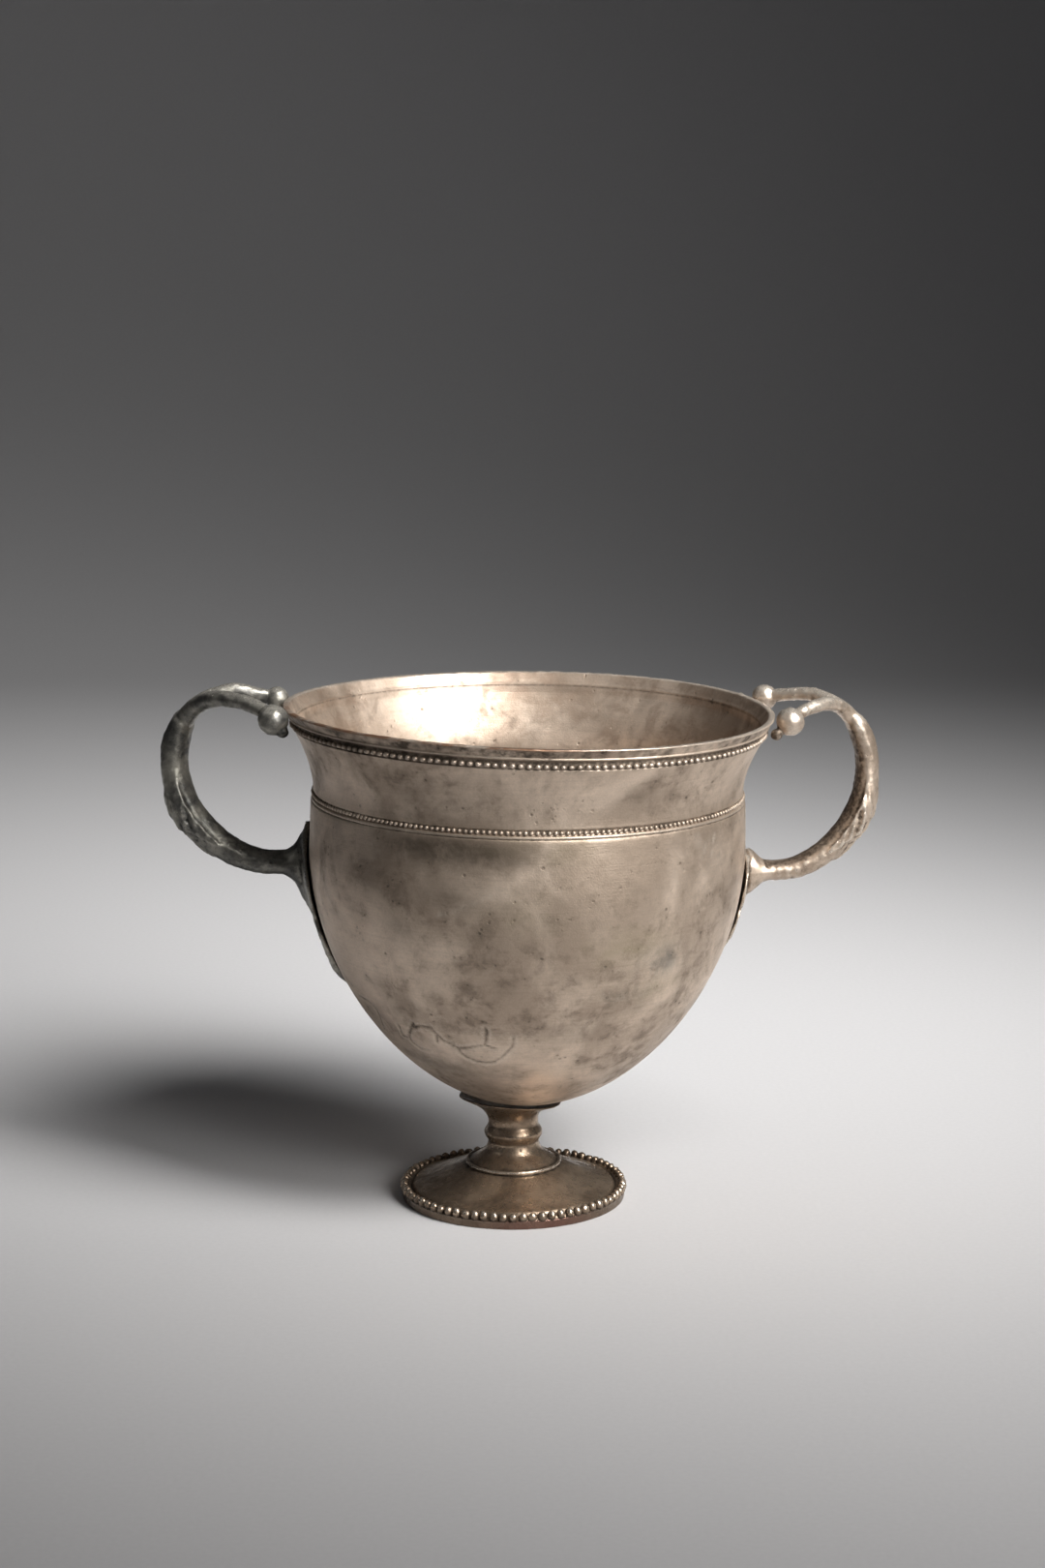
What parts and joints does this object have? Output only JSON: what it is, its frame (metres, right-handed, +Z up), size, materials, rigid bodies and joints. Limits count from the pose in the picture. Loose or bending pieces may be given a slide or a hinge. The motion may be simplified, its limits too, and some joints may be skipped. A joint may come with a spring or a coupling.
{
  "type": "skyphos",
  "caption": "Stemmed silver drinking cup with a flared neck, beaded mouldings, a beaded foot and forked ring handles on leaf-shaped plates.",
  "frame": {"origin": "middle of the model's footprint, on the surface that the foot stands on", "axes": "+Z up; +X from the dark handle to the bright handle, along the longest extent; +Y the depth, away from the picture's camera"},
  "size_m": [0.1573, 0.106, 0.1142],
  "materials": {
    "bowl_silver": "aged silver, grey-brown tarnish with worn bright patches and fine turning lines",
    "foot_silver": "aged silver, dark bronze-brown tarnish, bright worn beads",
    "handle_oxidised": "silver blackened by oxide, bright where worn",
    "handle_silver": "warm worn silver with dull brown in the hollows"
  },
  "bodies": {
    "root": {"bowl": "bowl_silver", "foot": "foot_silver", "handle_left": "handle_oxidised", "handle_right": "handle_silver"}
  },
  "joints": []
}
